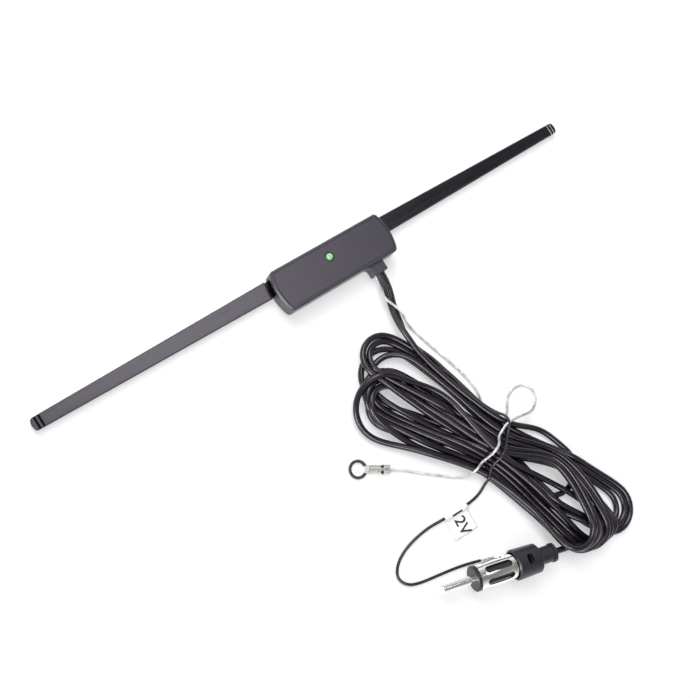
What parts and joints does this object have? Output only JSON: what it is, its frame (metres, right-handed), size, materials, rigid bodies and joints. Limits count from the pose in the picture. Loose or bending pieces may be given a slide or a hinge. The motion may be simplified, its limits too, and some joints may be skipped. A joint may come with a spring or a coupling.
{
  "type": "windshield radio antenna",
  "caption": "Slim adhesive windshield radio antenna: amplifier housing with a lamp, tapering flexible arms, and a tied hank of cable ending in a radio plug, a ground ring and a supply wire.",
  "frame": {"origin": "on the glass, at the centre of the housing's adhesive back", "axes": "+X along the arms towards the cable's end of the housing, +Z out of the glass, -Y the side on which the cable leaves"},
  "size_m": [0.256, 0.1663, 0.0122],
  "materials": {
    "housing_abs": "fine moulded texture",
    "arm_plastic": "satin extruded",
    "foam_tape": "closed-cell foam",
    "board_laminate": "solder mask",
    "green_lens": "clear tinted",
    "moulded_epoxy": "moulded",
    "chip_ceramic": "fired",
    "ferrite": "sintered",
    "copper": "rolled",
    "cable_jacket": "satin extruded",
    "wire_jacket": "satin extruded",
    "tinned_copper": "tinned strands",
    "flag_paper": "matt",
    "tinned_brass": "tinned",
    "nickel_plate": "polished",
    "plug_plastic": "moulded"
  },
  "bodies": {
    "root": {"housing_cover": "housing_abs", "housing_base": "housing_abs", "housing_tape": "foam_tape", "circuit_board": "board_laminate", "power_led": "green_lens", "transistor": "moulded_epoxy", "tantalum_capacitor": "moulded_epoxy", "ceramic_capacitors": "chip_ceramic", "resistors": "moulded_epoxy", "rf_choke": "ferrite", "right_arm": "arm_plastic", "left_arm": "arm_plastic", "right_element": "copper", "left_element": "copper", "right_arm_tape": "foam_tape", "left_arm_tape": "foam_tape", "cable_hank": "cable_jacket", "coax_lead": "cable_jacket", "coax_tail": "cable_jacket", "power_lead": "wire_jacket", "power_tail": "wire_jacket", "power_wire_end": "tinned_copper", "wire_flag": "flag_paper", "ground_lead": "tinned_copper", "ground_tail": "tinned_copper", "ring_terminal": "tinned_brass", "plug_pin": "nickel_plate", "plug_insulator": "plug_plastic", "plug_shell": "nickel_plate", "plug_collar": "plug_plastic", "plug_sleeve": "plug_plastic"}
  },
  "joints": []
}
